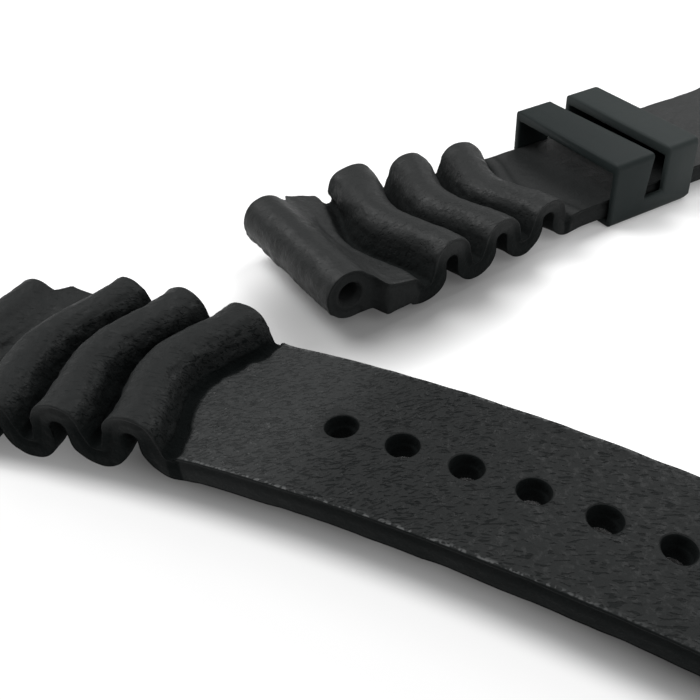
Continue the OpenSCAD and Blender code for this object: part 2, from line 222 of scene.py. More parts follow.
def swept_skin(loop, label, grain, skip):
    """Carries an outline across the stations. row gives the first index of each outline point."""
    points, values, faces, row = [], [], [], {}
    for i, (x, z) in enumerate(loop):
        if label[i] == "border" and label[i - 1] == "border":
            continue
        row[i] = len(points)
        at_end = "end" in (label[i], label[i - 1])
        for j, y in enumerate(stations):
            if at_end and j in (0, last_row):
                y = math.copysign(side_y(min(z, band_t - z), band_t - z), y)
            points.append((x, y, z))
            values.append(grain(x, z, label[i] if label[i] != "border" else label[i - 1]))
    for i, name in enumerate(label):
        k = (i + 1) % len(loop)
        if name != "border":
            faces += [(row[i] + j, row[i] + j + 1, row[k] + j + 1, row[k] + j)
                      for j in range(last_row) if not (skip and skip(loop[i], loop[k], j))]
    return points, values, faces, row


# %% The bores of a module
mouth_flare, flare_len = 0.28, 0.9
flares = 1 + mouth_flare * smooth(np.abs(stations), blank_half - flare_len, blank_half - edge_r)


def swept_bore(ring, points, values, faces):
    """Adds a bore that widens a little towards its mouths. Returns its rows and its mouth."""
    hub = np.mean(ring, axis=0)
    rows = [len(points) + i * len(stations) for i in range(len(ring))]
    for p in np.array(ring):
        points += [(hub[0] + (p[0] - hub[0]) * f, y, hub[1] + (p[1] - hub[1]) * f)
                   for f, y in zip(flares, stations)]
    values += [smooth_grain] * (len(ring) * len(stations))
    for a, b in zip(rows, rows[1:] + rows[:1]):
        faces += [(a + j, a + j + 1, b + j + 1, b + j) for j in range(last_row)]
    return rows, [tuple(hub + (np.array(p) - hub) * flares[-1]) for p in ring]


# %% The triangles of a side face
def side_triangles(loops, inner):
    """One flat triangulation: its points, the number each point had before, and the triangles."""
    edges, start = [], 0
    for loop in loops:
        edges += [(start + i, start + (i + 1) % len(loop)) for i in range(len(loop))]
        start += len(loop)
    flat = [Vector(p) for p in [p for loop in loops for p in loop] + inner]
    spots, _, tris, origin, _, _ = geometry.delaunay_2d_cdt(flat, edges, [], 0, 1e-7, True)
    spots, tris = np.array([(v.x, v.y) for v in spots]), np.array(tris)
    return spots, [numbers[0] for numbers in origin], tris[within(spots[tris].mean(1), loops)]


# %% A module from its outline
def module(runs, holes=(), grain=None, skip=None):
    """Sweeps a closed outline across the stations and closes it with two side faces.
    runs go round the outline with the material on the left: top, under, end or border."""
    loop, label = [], []
    for name, run in runs:
        loop += [tuple(p) for p in run[:-1]]
        label += [name] * (len(run) - 1)
    points, values, faces, row = swept_skin(loop, label, grain, skip)
    bores = [swept_bore(ring, points, values, faces) for ring in holes]
    mouths = [mouth for _, mouth in bores]
    skins = [run for name, run in runs if name in ("top", "under")]
    tops = [run for name, run in runs if name == "top"]
    if "end" in label:
        # Both skins run on past a square end, so that it gets no gap of its own
        start, stop = max(p[0] for p in loop) - 3, max(p[0] for p in loop) + 9
        skins += [[(start, 0), (stop, 0)], [(start, band_t), (stop, band_t)]]
        tops += [[(start, band_t), (stop, band_t)]]
    skins += [m + [m[0]] for m in mouths]
    keep_off = [run for name, run in runs if name in ("border", "end")]
    loops = [loop] + mouths
    spots, origin, tris = side_triangles(loops, inner_points(loops, skins, keep_off))
    source = [row.get(i) for i in range(len(loop))] + [r for rows, _ in bores for r in rows]
    edge_gap, top_gap = distance(spots, skins), distance(spots, tops)
    # The same triangles close both sides, turned over on one of them
    for side in (-1, 1):
        index = []
        for v, (x, z) in enumerate(spots):
            old = origin[v]
            if old < len(source) and source[old] is not None:
                index.append(source[old] + (0 if side < 0 else last_row))
                continue
            index.append(len(points))
            if old < len(loop):
                t = max(p[1] for name, run in runs if name == "border" for p in run
                        if abs(p[0] - x) < 1e-6)
                y = side_y(min(z, t - z), t - z)
            else:
                y = side_y(edge_gap[v], top_gap[v])
            points.append((x, side * float(y), z))
            values.append(side_grain)
        for a, b, c in tris:
            turn = np.cross(spots[b] - spots[a], spots[c] - spots[a])
            order = (a, b, c) if (turn > 0) == (side < 0) else (a, c, b)
            faces.append(tuple(index[v] for v in order))
    return points, values, faces


def blank_object(name, *modules):
    """A mesh object of one or more modules, in metres, with a grain number on each point."""
    points, values, faces = [], [], []
    for p, v, f in modules:
        faces += [tuple(i + len(points) for i in face) for face in f]
        points += p
        values += v
    mesh = bpy.data.meshes.new(name)
    mesh.from_pydata([(x * MM, y * MM, z * MM) for x, y, z in points], [], faces)
    grain = mesh.attributes.new("grain", "FLOAT", "POINT")
    grain.data.foreach_set("value", np.array(values, np.float32))
    obj = bpy.data.objects.new(name, mesh)
    bpy.context.scene.collection.objects.link(obj)
    return obj


# %% [markdown]
# ## One fold
# A fold is an upside-down U of rubber: a round crest, walls that spread a little towards the foot,
# and a narrow slot inside that opens downwards between two bulging feet. Bending a flat sheet with
# a curve would thin or pinch it, so the outline is drawn as the mould's cavity is, from arcs and
# short straight runs. The band-facing wall is wrinkled and the crest is smooth, so each point also
# carries a number for its grain.

# %% The fold's outline
slot_grain, band_side_wrinkles, lug_side_wrinkles = 0.25, 0.55, 0.3
flank_foot, flank_top = (2.6, 3.4), (5.8, 7.3)


def fold_runs():
    foot_half = half_pitch - slot_half
    foot = [(half_pitch - foot_half * math.cos(t), foot_h - foot_h * math.sin(t))
            for t in np.radians(np.linspace(0, 90, 15))]
    right = joined(arc(0, slot_z, slot_half, 90, 0, 0.25),
                   chain([(slot_half, slot_z), (slot_half, foot_h)]), foot)
    left = [(-x, z) for x, z in reversed(right)]
    bend = arc(slot_half + wall_t + root_r, floor_t + root_r, root_r, -90, -180, 0.15)
    near = joined(chain([(half_pitch, floor_t), bend[0]], 0.15), bend)
    far = [(-x, z) for x, z in reversed(near)]
    crest = arc(crest_lean, fold_h - crest_r, crest_r, 0, 180, 0.3)
    top = joined(near, chain([near[-1], crest[0]], 0.3), crest,
                 chain([crest[-1], far[0]], 0.3), far)
    return [("under", joined(left, right)), ("border", border(half_pitch, floor_t, True)),
            ("top", softened(top, 2)), ("border", border(-half_pitch, floor_t, False))]


def fold_grain(x, z, label):
    if label != "top":
        return slot_grain
    flank = smooth(z, *flank_foot) * (1 - smooth(z, *flank_top))
    return float(crest_grain + (band_side_wrinkles if x > 0 else lug_side_wrinkles) * flank)


fold = blank_object("fold_blank", module(fold_runs(), grain=fold_grain))
print("fold blank:", len(fold.data.polygons), "faces")

# %% [markdown]
# ## The lug end
# The tube that takes the watch's spring bar is round, and its bore runs right through. A web leads
# from it over a low ridge to the first valley. Outline and bore are swept together, so that the
# bore is a real hole with a soft mouth and needs no Boolean cut. Where the two halves of the mould
# met, the tube keeps a thin line of flash.

# %% The lug end's outline
flash_angle, flash_h, flash_spread, lug_foot = 211, 0.4, 4, 2.4
tube_grain, flash_grain, web_grain = 0.4, 0.5, 0.15
web_line = [(6.2, 4.7), (4.6, 5.2), (3.5, 5.7), (2.85, 6.2)]


def from_flash(x, z):
    """The angle round the tube from its line of flash, in degrees."""
    return math.degrees(math.atan2(z - bore_z, x)) % 360 - flash_angle


def lug_runs():
    edge_x = first_fold - half_pitch
    web = chain([(edge_x, floor_t), (ridge_x + 1.8, floor_t + 0.05),
                 (ridge_x + 1.25, ridge_z)], 0.25)
    over = joined(web, arc(ridge_x, ridge_z, ridge_r, 15, 100, 0.25), chain(web_line))
    tube = []
    for x, z in arc(0, bore_z, tube_r, 38, 285, 0.22):
        grow = 1 + flash_h / tube_r * math.exp(-(from_flash(x, z) / flash_spread) ** 2)
        tube.append((x * grow, bore_z + (z - bore_z) * grow))
    foot = [(edge_x - lug_foot * math.cos(t), web_z - web_z * math.sin(t))
            for t in np.radians(np.linspace(0, 90, 9))]
    below = joined(chain([(tube[-1][0] + 0.2, 1.1), (3.2, 1.0), (3.8, web_z), foot[0]]), foot)
    skin = softened(joined(over, tube), 2)
    return [("top", skin), ("under", joined([skin[-1]], below)),
            ("border", border(edge_x, floor_t, True))]


def lug_grain(x, z, label):
    flash = math.exp(-(from_flash(x, z) / (2 * flash_spread)) ** 2)
    return tube_grain + flash_grain * flash * (x < 0) + web_grain * (x > 3) * (label == "top")


bore = arc(0, bore_z, bore_r, 0, -360, 0.26)[:-1]
lug_module = module(lug_runs(), [bore], lug_grain)
print("lug end:", len(lug_module[2]), "faces")

# %% [markdown]
# ## The band of the tail half
# The band leaves the last valley, gets its full thickness within half a millimetre and ends in a
# round tip. Square windows are left open in its two skins where the holes go, so that a finished
# hole can be set in later. The round tip comes later too, from a rule that turns the square end of
# the blank into half a disc.

# %% The tail's band and its windows
block, thicken_len = block_cells * cell, 0.5
window_starts = [first_hole + i * hole_pitch - block / 2 for i in range(hole_count)]
# The grain is full at the folds and sparser past the first holes
sparser_x, sparser_by, under_grain = (45, 95), 0.35, 0.3


def band_marks(end):
    """Places along the tail's band, with even steps in and between the windows."""
    marks = list(np.linspace(band_x, window_starts[0], 31))
    for i, start in enumerate(window_starts):
        marks += list(start + cell * np.arange(1, block_cells + 1))
        stop = window_starts[i + 1] if i + 1 < hole_count else end
        steps = round((stop - start - block) / cell)
        marks += list(np.linspace(start + block, stop, 1 + steps)[1:])
    return marks


def band_top(x):
    return floor_t + (band_t - floor_t) * float(smooth(x, band_x, band_x + thicken_len))


def in_window(p, q, j):
    x = (p[0] + q[0]) / 2
    return j in block_rows and any(s < x < s + block for s in window_starts)


def tail_runs():
    flat_end = tail_len - edge_r
    marks = band_marks(flat_end)
    angles = np.radians(np.linspace(0, 90, 6))
    low = [(flat_end + edge_r * math.sin(a), edge_r - edge_r * math.cos(a)) for a in angles]
    high = [(x, band_t - z) for x, z in reversed(low)]
    end = joined(low, chain([low[-1], high[0]], 0.3), high)
    return [("under", [(x, 0) for x in marks]), ("end", end),
            ("top", [(x, band_top(x)) for x in reversed(marks)]),
            ("border", border(band_x, floor_t, False))]


def tail_grain(x, z, label):
    return float(1.0 - sparser_by * smooth(x, *sparser_x)) if label == "top" else under_grain


tail_module = module(tail_runs(), grain=tail_grain, skip=in_window)
print("tail band:", len(tail_module[2]), "faces")

# %% [markdown]
# ## One hole
# Each hole is moulded, not punched: its rim is softly rounded, and a little way down the wall steps
# in to a narrower throat. A Boolean cut would leave a sharp rim and slivers round it. The module
# fills one window instead: rings run from the window's square to the round rim, down the throat
# and out to the same square below.

# %% The hole's rings
# Radius and height of each ring, from the upper rim to the lower one
hole_profile = [(1.85, 2.8), (1.74, 2.79), (1.63, 2.73), (1.56, 2.62), (1.53, 2.45), (1.52, 2.1),
                (1.51, 1.8), (1.48, 1.68), (1.42, 1.62), (1.35, 1.58), (1.29, 1.5), (1.27, 1.35),
                (1.26, 0.8), (1.27, 0.3), (1.31, 0.13), (1.4, 0.03), (1.53, 0.0)]
upper_r, lower_r, rim_grain, rim_rings, foot_rings = 2.1, 1.7, 0.85, 6, 4


def hole_object():
    steps = (np.arange(block_cells) - block_cells / 2) * cell
    h = block / 2
    square = [(x, -h) for x in steps] + [(h, y) for y in steps] + \
        [(-x, h) for x in steps] + [(-h, -y) for y in steps]

    def ring(share, r, z):
        """The window's square, drawn some share of the way to a circle of radius r."""
        return [(*(np.array(p) * (1 - share) + r * share * np.array(p) / math.hypot(*p)), z)
                for p in square]

    rings = [ring(share, upper_r, band_t) for share in (0, 0.3, 0.6, 0.82)]
    rings += [ring(1, r, z) for r, z in hole_profile]
    rings += [ring(share, lower_r, 0) for share in (0.7, 0.35, 0)]
    points = [p for one in rings for p in one]
    n = len(square)
    faces = [(k * n + i, k * n + (i + 1) % n, (k + 1) * n + (i + 1) % n, (k + 1) * n + i)
             for k in range(len(rings) - 1) for i in range(n)]
    throat_rings = len(rings) - rim_rings - foot_rings
    values = [rim_grain] * (rim_rings * n) + [throat_grain] * (throat_rings * n) + \
        [smooth_grain] * (foot_rings * n)
    return blank_object("hole_blank", (points, values, faces))


hole = hole_object()
print("hole blank:", len(hole.data.polygons), "faces")

# %% [markdown]
# ## The strip of the buckle half
# This half is smooth and swells at its end round the buckle's bar, whose hole is swept with the
# outline, as the lug bore is. The notch for the tongue is cut out of the finished half, the way a
# die would cut it.

# %% The strip's outline
swell_len, nose_points = 7, 60
# Past the last fold the grain soon gives way to a smooth skin
strip_root_grain, strip_smoother, smooth_past = 0.5, 0.42, 3


def strip_runs():
    swell_x = bar_x - swell_len
    marks = list(np.linspace(band_x, swell_x, 84))
    swell = softened(chain([(swell_x, band_t), (swell_x + 1.5, band_t + 0.05),
                            (bar_x - 0.6, 2 * end_r)]), 4)
    nose = arc(bar_x, end_r, end_r, -90, 90)
    top = joined(nose, reversed(swell), [(x, band_top(x)) for x in reversed(marks)])
    top = joined(softened(top[:nose_points], 2), top[nose_points:])
    under = joined([(x, 0) for x in marks], chain([(swell_x, 0), (bar_x, 0)]))
    return [("under", under), ("top", top), ("border", border(band_x, floor_t, False))]


def strip_grain(x, z, label):
    if label != "top":
        return smooth_grain
    return float(strip_root_grain - strip_smoother * smooth(x, band_x, band_x + smooth_past))


bar_hole = arc(bar_x, end_r, bar_hole_r, 0, -360, 0.26)[:-1]
strip_module = module(strip_runs(), [bar_hole], strip_grain)
print("strip:", len(strip_module[2]), "faces")

# %% [markdown]
# ## Sums on sockets
# The rule that shapes a half, and all the materials, are sums on the sockets of nodes. One small
# class wraps a socket, so that a sum such as 1 - mask adds its Math node by itself.

# %% A socket that can be used in sums
class Link:
    def __init__(self, tree, socket=None):
        self.tree, self.socket = tree, socket

    def node(self, kind, settings=None, sockets=None, output=0):
        """Adds a node: its settings first, then the values or links of its sockets."""
        made = self.tree.nodes.new(kind)
        for name, value in (settings or {}).items():
            setattr(made, name, value)
        for name, value in (sockets or {}).items():
            if isinstance(value, Link):
                self.tree.links.new(value.socket, made.inputs[name])
            else:
                made.inputs[name].default_value = value
        return Link(self.tree, made.outputs[output])

    def math(self, operation, *terms):
        sockets = dict(enumerate((self, *terms)))
        return self.node("ShaderNodeMath", {"operation": operation}, sockets)

    def __add__(self, other):
        return self.math("ADD", other)

    def __sub__(self, other):
        return self.math("SUBTRACT", other)

    def __rsub__(self, other):
        return self.math("MULTIPLY", -1.0).math("ADD", other)

    def __mul__(self, other):
        return self.math("MULTIPLY", other)

    def __truediv__(self, other):
        return self.math("DIVIDE", other)

    __radd__, __rmul__ = __add__, __mul__

    def ease(self, low, high, start=0.0, stop=1.0, kind="SMOOTHSTEP"):
        """Maps low..high to start..stop, and holds the ends."""
        return self.node("ShaderNodeMapRange", {"interpolation_type": kind}, {
            "Value": self, "From Min": low, "From Max": high, "To Min": start, "To Max": stop})


# %% [markdown]
# ## The rule of a half
# Real strap halves are drawn by rule: a waist that narrows in a straight line, folds that repeat at
# one pitch and bow towards the watch, holes at one pitch, a round tip. Modelling each fold by hand
# would let them drift apart, and Geometry Nodes do exactly this. One tree sets the fold blank and
# the hole blank in rows, merges them with the lug end and the band, and then moves every point by
# the rule. Both halves use it with their own numbers.

# %% Inputs of the tree
def tree_inputs(tree):
    """Gives the tree its named inputs and its output, and returns the inputs as links."""
    kinds = {"Fold": "Object", "Hole": "Object", "Rubber": "Material", "Arched": "Bool",
             "Fold count": "Int", "Hole count": "Int"}
    names = ["Fold", "Hole", "Rubber", "Arched", "Fold count", "Hole count", "First fold",
             "Fold pitch", "Fold height", "Fold drop", "First hole", "Hole pitch", "Bow", "End at",
             "End half width", "Round from", "Arch radius", "Lug tilt", "First lean", "Lump height",
             "Wrinkle height", "Seed"]
    add = tree.interface.new_socket
    add("Geometry", in_out="INPUT", socket_type="NodeSocketGeometry")
    for name in names:
        add(name, in_out="INPUT", socket_type="NodeSocket" + kinds.get(name, "Float"))
    add("Geometry", in_out="OUTPUT", socket_type="NodeSocketGeometry")
    group = tree.nodes.new("NodeGroupInput")
    return {s.name: Link(tree, s) for s in group.outputs if s.name}


# %% Rows of folds and holes
weld_gap = 0.01


def welded_blanks(start, given):
    """The lug end and the band with their rows of folds and holes, merged into one mesh."""
    def row(blank, count, first, pitch):
        points = start.node("GeometryNodeMeshLine", None, {
            "Count": count,
            "Start Location": start.node("ShaderNodeCombineXYZ", None, {"X": first}),
            "Offset": start.node("ShaderNodeCombineXYZ", None, {"X": pitch})})
        shape = start.node("GeometryNodeObjectInfo", None, {"Object": blank}, output="Geometry")
        placed = start.node("GeometryNodeInstanceOnPoints", None,
                            {"Points": points, "Instance": shape})
        return start.node("GeometryNodeRealizeInstances", None, {"Geometry": placed})

    join = start.tree.nodes.new("GeometryNodeJoinGeometry")
    folds = row(given["Fold"], given["Fold count"], given["First fold"], given["Fold pitch"])
    holes = row(given["Hole"], given["Hole count"], given["First hole"], given["Hole pitch"])
    for part in (given["Geometry"], folds, holes):
        start.tree.links.new(part.socket, join.inputs[0])
    return start.node("GeometryNodeMergeByDistance", None, {
        "Geometry": Link(start.tree, join.outputs[0]), "Distance": weld_gap * MM})


# %% Marks on the skin
# Where each mark fades, in millimetres: heights, widths, and places along the half. The places are
# counted from the lug bore, from the last fold (last_) or from where the folds end (past_)
valley_z, root_z, rim_y = (3.2, 7.4), (3.6, 4.6), (9.5, 9.85)
web_x, side_x, last_flank_x, last_root_x = (ridge_x, 9.5), (10.0, 11.0), (1.0, 3.0), (3.1, 3.6)
past_edge_x, past_shade_x, past_wrinkles_x = (0.35, 0.6), (4.0, 25.0), (0.5, 2.5)
last_flank_share, root_share, side_share = 0.45, 1.2, 0.6
folds_shade, band_shade, band_wrinkles = 0.2, 0.24, 0.25


def fade(value, span, base=0.0, start=0.0, stop=1.0):
    """From start to stop as a link goes through a span of millimetres, counted from a base."""
    return value.ease(base + span[0] * MM, base + span[1] * MM, start, stop)


def skin_marks(given, grain, x, y, z, last_fold, folds_end):
    """Three numbers for each point: painted shade, wrinkles, and where a painted highlight lies on
    the band's rim.
    """
    past_folds = fade(x, past_edge_x, folds_end)
    # Painted shade: low in the valleys between the folds, at the last fold's root, and on the side
    # faces of the lug end and past the folds
    low = (1 - fade(z, valley_z)) * (1 - last_flank_share * fade(x, last_flank_x, last_fold))
    root = fade(x, last_root_x, last_fold) * (1 - fade(z, root_z)) * root_share
    hollow = low.math("MAXIMUM", root) * fade(x, web_x) * (1 - past_folds)
    side_face = 1 - (grain - side_grain).math("ABSOLUTE").ease(0.02, 0.06)
    beside_folds = 1 - fade(x, side_x) * (1 - past_folds)
    hollow = hollow.math("MAXIMUM", side_face * beside_folds * side_share)
    # On the tail half, painted shade also darkens the folds a little, and the band more from a few
    # millimetres past them
    tail_shade = folds_shade * (1 - past_folds) + band_shade * fade(x, past_shade_x, folds_end)
    # rim marks where the rubber paints a serrated highlight along the band's rims
    return {"hollow": hollow + given["Arched"] * tail_shade,
            "rough": grain * fade(x, past_wrinkles_x, folds_end, 1.0, band_wrinkles),
            "rim": fade(y.math("ABSOLUTE"), rim_y) * grain.ease(0.6, 0.9) * past_folds}


# %% Where a point of the blank goes
bow_x, bow_fade_x = (3.0, 8.5), (0.0, 8.0)
widen_y, step_x = (3.0, 8.0), (shoulder_x - 0.9, shoulder_x + 0.3)
lean_x, lean_y, lean_z = (0.8, 3.2), (0.0, 9.0), (2.8, 4.5)


def new_place(given, spot, x, y, z, folds_end):
    """The place of a point on the finished half, from its place on the blank."""
    # Each fold stands a little lower than the one before
    number = ((x - given["First fold"]) / given["Fold pitch"]).math("ROUND").math("MAXIMUM", 0.0)
    lower = number * given["Fold drop"] / (given["Fold height"] - groove_z * MM)
    lower = lower * x.math("LESS_THAN", folds_end)
    z = z - (z - groove_z * MM).math("MAXIMUM", 0.0) * lower
    # The half narrows to its waist, and from there to its end
    taper = x.ease(shoulder_x * MM, waist_x * MM, shoulder_half * MM, waist_half * MM, "LINEAR")
    end_taper = given["End half width"] - waist_half * MM
    taper = taper + x.ease(waist_x * MM, given["End at"], 0.0, end_taper, "LINEAR")
    width = tube_half * MM + (taper - tube_half * MM) * fade(x, step_x)
    y = y + y.math("SIGN") * (width - blank_half * MM) * fade(y.math("ABSOLUTE"), widen_y)
    # The folds bow towards the watch, and the first one leans towards the web at one side
    bow = given["Bow"] * fade(x, bow_x, 0.0, 0.0, 0.5)
    bow = bow * (1 - fade(x, bow_fade_x, folds_end))
    x = x - bow * (1 + (y / width * math.pi).math("COSINE"))
    wall = 1 - fade((x - (given["First fold"] - crest_r * MM)).math("ABSOLUTE"), lean_x)
    x = x - given["First lean"] * wall * fade(z, lean_z) * fade(y, lean_y)
    # The square end of the blank becomes half a disc
    far = (x - given["Round from"]) / given["End half width"]
    far = far.ease(0.0, 1.0, 0.0, 1.0, "LINEAR")
    wide = y / given["End half width"]
    drawn_in = (1 - wide * wide * 0.5).math("MAXIMUM", 0.5).math("SQRT") - 1.0
    x = x + far * given["End half width"] * drawn_in
    y = y * (1 - far * far * 0.5).math("SQRT")
    # Lying flat, or arched between the lug tube and the tip
    flat = spot.node("ShaderNodeCombineXYZ", None, {"X": x, "Y": y, "Z": z - bore_z * MM})
    turn, reach = x / given["Arch radius"] - given["Lug tilt"], z + given["Arch radius"]
    zero, hub = given["Lug tilt"] * -1.0, given["Arch radius"] + bore_z * MM
    arched = spot.node("ShaderNodeCombineXYZ", None, {
        "X": reach * turn.math("SINE") - hub * zero.math("SINE"), "Y": y,
        "Z": reach * turn.math("COSINE") - hub * zero.math("COSINE")})
    return spot.node("GeometryNodeSwitch", {"input_type": "VECTOR"},
                     {"Switch": given["Arched"], "False": flat, "True": arched})


# %% Lumps and wrinkles
lump_size, wrinkle_size = 4.5, 1.4


def unevenness(start, given, spot):
    """Moulded silicone is never quite even: slow lumps, and fine wrinkles where it is rough."""
    normal = start.node("GeometryNodeInputNormal")
    rough = start.node("GeometryNodeInputNamedAttribute", {"data_type": "FLOAT"}, {"Name": "rough"})

    def swell(size, detail):
        noise = start.node("ShaderNodeTexNoise", {"noise_dimensions": "4D"}, {
            "Vector": spot, "W": given["Seed"], "Scale": 1 / (size * MM), "Detail": detail})
        return (noise - 0.5) * 2.0

    push = given["Lump height"] * swell(lump_size, 1.0)
    push = push + given["Wrinkle height"] * rough * swell(wrinkle_size, 2.0)
    return start.node("ShaderNodeVectorMath", {"operation": "SCALE"}, {0: normal, "Scale": push})


# %% The whole tree
def rule_tree():
    tree = bpy.data.node_groups.new("strap_half", "GeometryNodeTree")
    given, start = tree_inputs(tree), Link(tree)
    whole = welded_blanks(start, given)
    spot = start.node("GeometryNodeInputPosition")
    parts = spot.node("ShaderNodeSeparateXYZ", None, {"Vector": spot}).socket.node.outputs
    x, y, z = (Link(tree, parts[k]) for k in range(3))
    last_fold = given["First fold"] + given["Fold pitch"] * (fold_count - 1)
    folds_end = last_fold + given["Fold pitch"] * 0.5
    grain = start.node("GeometryNodeInputNamedAttribute", {"data_type": "FLOAT"}, {"Name": "grain"})
    for name, value in skin_marks(given, grain, x, y, z, last_fold, folds_end).items():
        whole = start.node("GeometryNodeStoreNamedAttribute",
                           {"data_type": "FLOAT", "domain": "POINT"},
                           {"Geometry": whole, "Name": name, "Value": value})
    place = new_place(given, spot, x, y, z, folds_end)
    shaped = start.node("GeometryNodeSetPosition", None, {"Geometry": whole, "Position": place})
    offset = unevenness(start, given, spot)
    shaped = start.node("GeometryNodeSetPosition", None, {"Geometry": shaped, "Offset": offset})
    shaped = start.node("GeometryNodeSetShadeSmooth", None, {"Geometry": shaped})
    shaped = start.node("GeometryNodeRealizeInstances", None, {"Geometry": shaped})
    shaped = start.node("GeometryNodeSetMaterial", None,
                        {"Geometry": shaped, "Material": given["Rubber"]})
    end = tree.nodes.new("NodeGroupOutput")
    tree.links.new(shaped.socket, end.inputs[0])
    return tree


half_rule = rule_tree()
print("rule tree:", len(half_rule.nodes), "nodes")


# %% A half from its blanks
def strap_half(name, modules, numbers, material, place):
    """Joins the modules, applies the rule with these numbers and turns the result into a mesh."""
    half = blank_object(name, *modules)
    work = bmesh.new()
    work.from_mesh(half.data)
    bmesh.ops.delete(work, geom=[v for v in work.verts if not v.link_faces], context="VERTS")
    bmesh.ops.remove_doubles(work, verts=work.verts, dist=weld_gap / 2 * MM)
    work.to_mesh(half.data)
    work.free()
    modifier = half.modifiers.new("rule", "NODES")
    modifier.node_group = half_rule
    values = {"Fold": fold, "Hole": hole, "Rubber": material, "Fold count": fold_count,
              "First fold": first_fold * MM, "Fold pitch": fold_pitch * MM,
              "Fold height": fold_h * MM, "Bow": bow_depth * MM, "First hole": first_hole * MM,
              "Hole pitch": hole_pitch * MM, "Arch radius": arch_r * MM, **numbers}
    for item in half_rule.interface.items_tree:
        if item.in_out == "INPUT" and item.name in values:
            modifier[item.identifier] = values[item.name]
    bpy.context.view_layer.update()
    seen = half.evaluated_get(bpy.context.evaluated_depsgraph_get())
    mesh = bpy.data.meshes.new_from_object(seen)
    mesh.name = name
    half.modifiers.clear()
    half.data = mesh
    mesh.transform(place)
    edges = bmesh.new()
    edges.from_mesh(mesh)
    loose = sum(1 for e in edges.edges if len(e.link_faces) != 2)
    print(name, len(mesh.polygons), "faces,", loose, "open edges, volume",
          round(edges.calc_volume() / MM ** 3), "mm3")
    edges.free()
    return half


# %% [markdown]
# ## Black silicone
# The strap's rubber is nearly black and satin. Its top skin has a leather grain: short creases,
# pebbly and dense near the folds and sparser along the band, while the crests and the strip near
# the keeper are smooth. Painted shade darkens the valleys between the folds, the last fold's root,
# some side faces and the insides of the holes, and a serrated painted highlight in light grey runs
# along the band's rims. A photograph as a texture would smear over the folds, so noises in Object
# coordinates draw the grain, and the numbers that the rule has stored on each point say where it
# and the painted marks show. One function makes both rubbers: the tail half's shines less, and
# painted shade makes it a little darker.

# %% Materials in nodes
def new_material(name, **constants):
    """A principled material, its shader and a first link. Constants go straight on the shader."""
    material = bpy.data.materials.new(name)
    material.use_nodes = True
    shader = material.node_tree.nodes["Principled BSDF"]
    for socket, value in constants.items():
        shader.inputs[socket.replace("_", " ")].default_value = value
    return material, shader, Link(material.node_tree)


def mixed(start, share, first, second):
    """Mixes two colours, each a link or three numbers, by a share from 0 to 1."""
    first, second = (c if isinstance(c, Link) else (*c, 1) for c in (first, second))
    return start.node("ShaderNodeMix", {"data_type": "RGBA"},
                      {"Factor": share, 6: first, 7: second}, output=2)


def feed(shader, **links):
    for socket, link in links.items():
        link.tree.links.new(link.socket, shader.inputs[socket.replace("_", " ")])


def bumped(start, *layers):
    """Bump nodes in a chain, each with its height link and its depth in millimetres."""
    normal = None
    for height, depth in layers:
        sockets = {"Height": height, "Distance": depth * MM, "Strength": 1.0}
        if normal:
            sockets["Normal"] = normal
        normal = start.node("ShaderNodeBump", None, sockets)
    return normal


def speckle(start, at, size, detail=2.0, rough=0.5):
    """A noise whose grains have this size in millimetres."""
    return start.node("ShaderNodeTexNoise", None, {
        "Vector": at, "Scale": 1 / (size * MM), "Detail": detail, "Roughness": rough})


# %% The strap's rubber
rubber_tone, crease_tone = (0.0145, 0.0155, 0.0155), (0.002, 0.003, 0.003)
rim_highlight_tone = (0.085, 0.088, 0.088)
pebble_size, rim_highlight_size, fine_size, cloud_size, dent_size = 0.7, 0.45, 0.12, 7.0, 1.2
crease_depth, pebble_depth, dent_depth, fine_depth = 0.08, 0.16, 0.3, 0.008
# For each kind of crease: its direction, its size, and the noise between which it sets in
long_creases, cross_creases = (-0.52, 1.1, 0.66, 0.71), (-0.8, 0.9, 0.67, 0.72)
root_creases = (-0.1, 0.8, 0.6, 0.68)


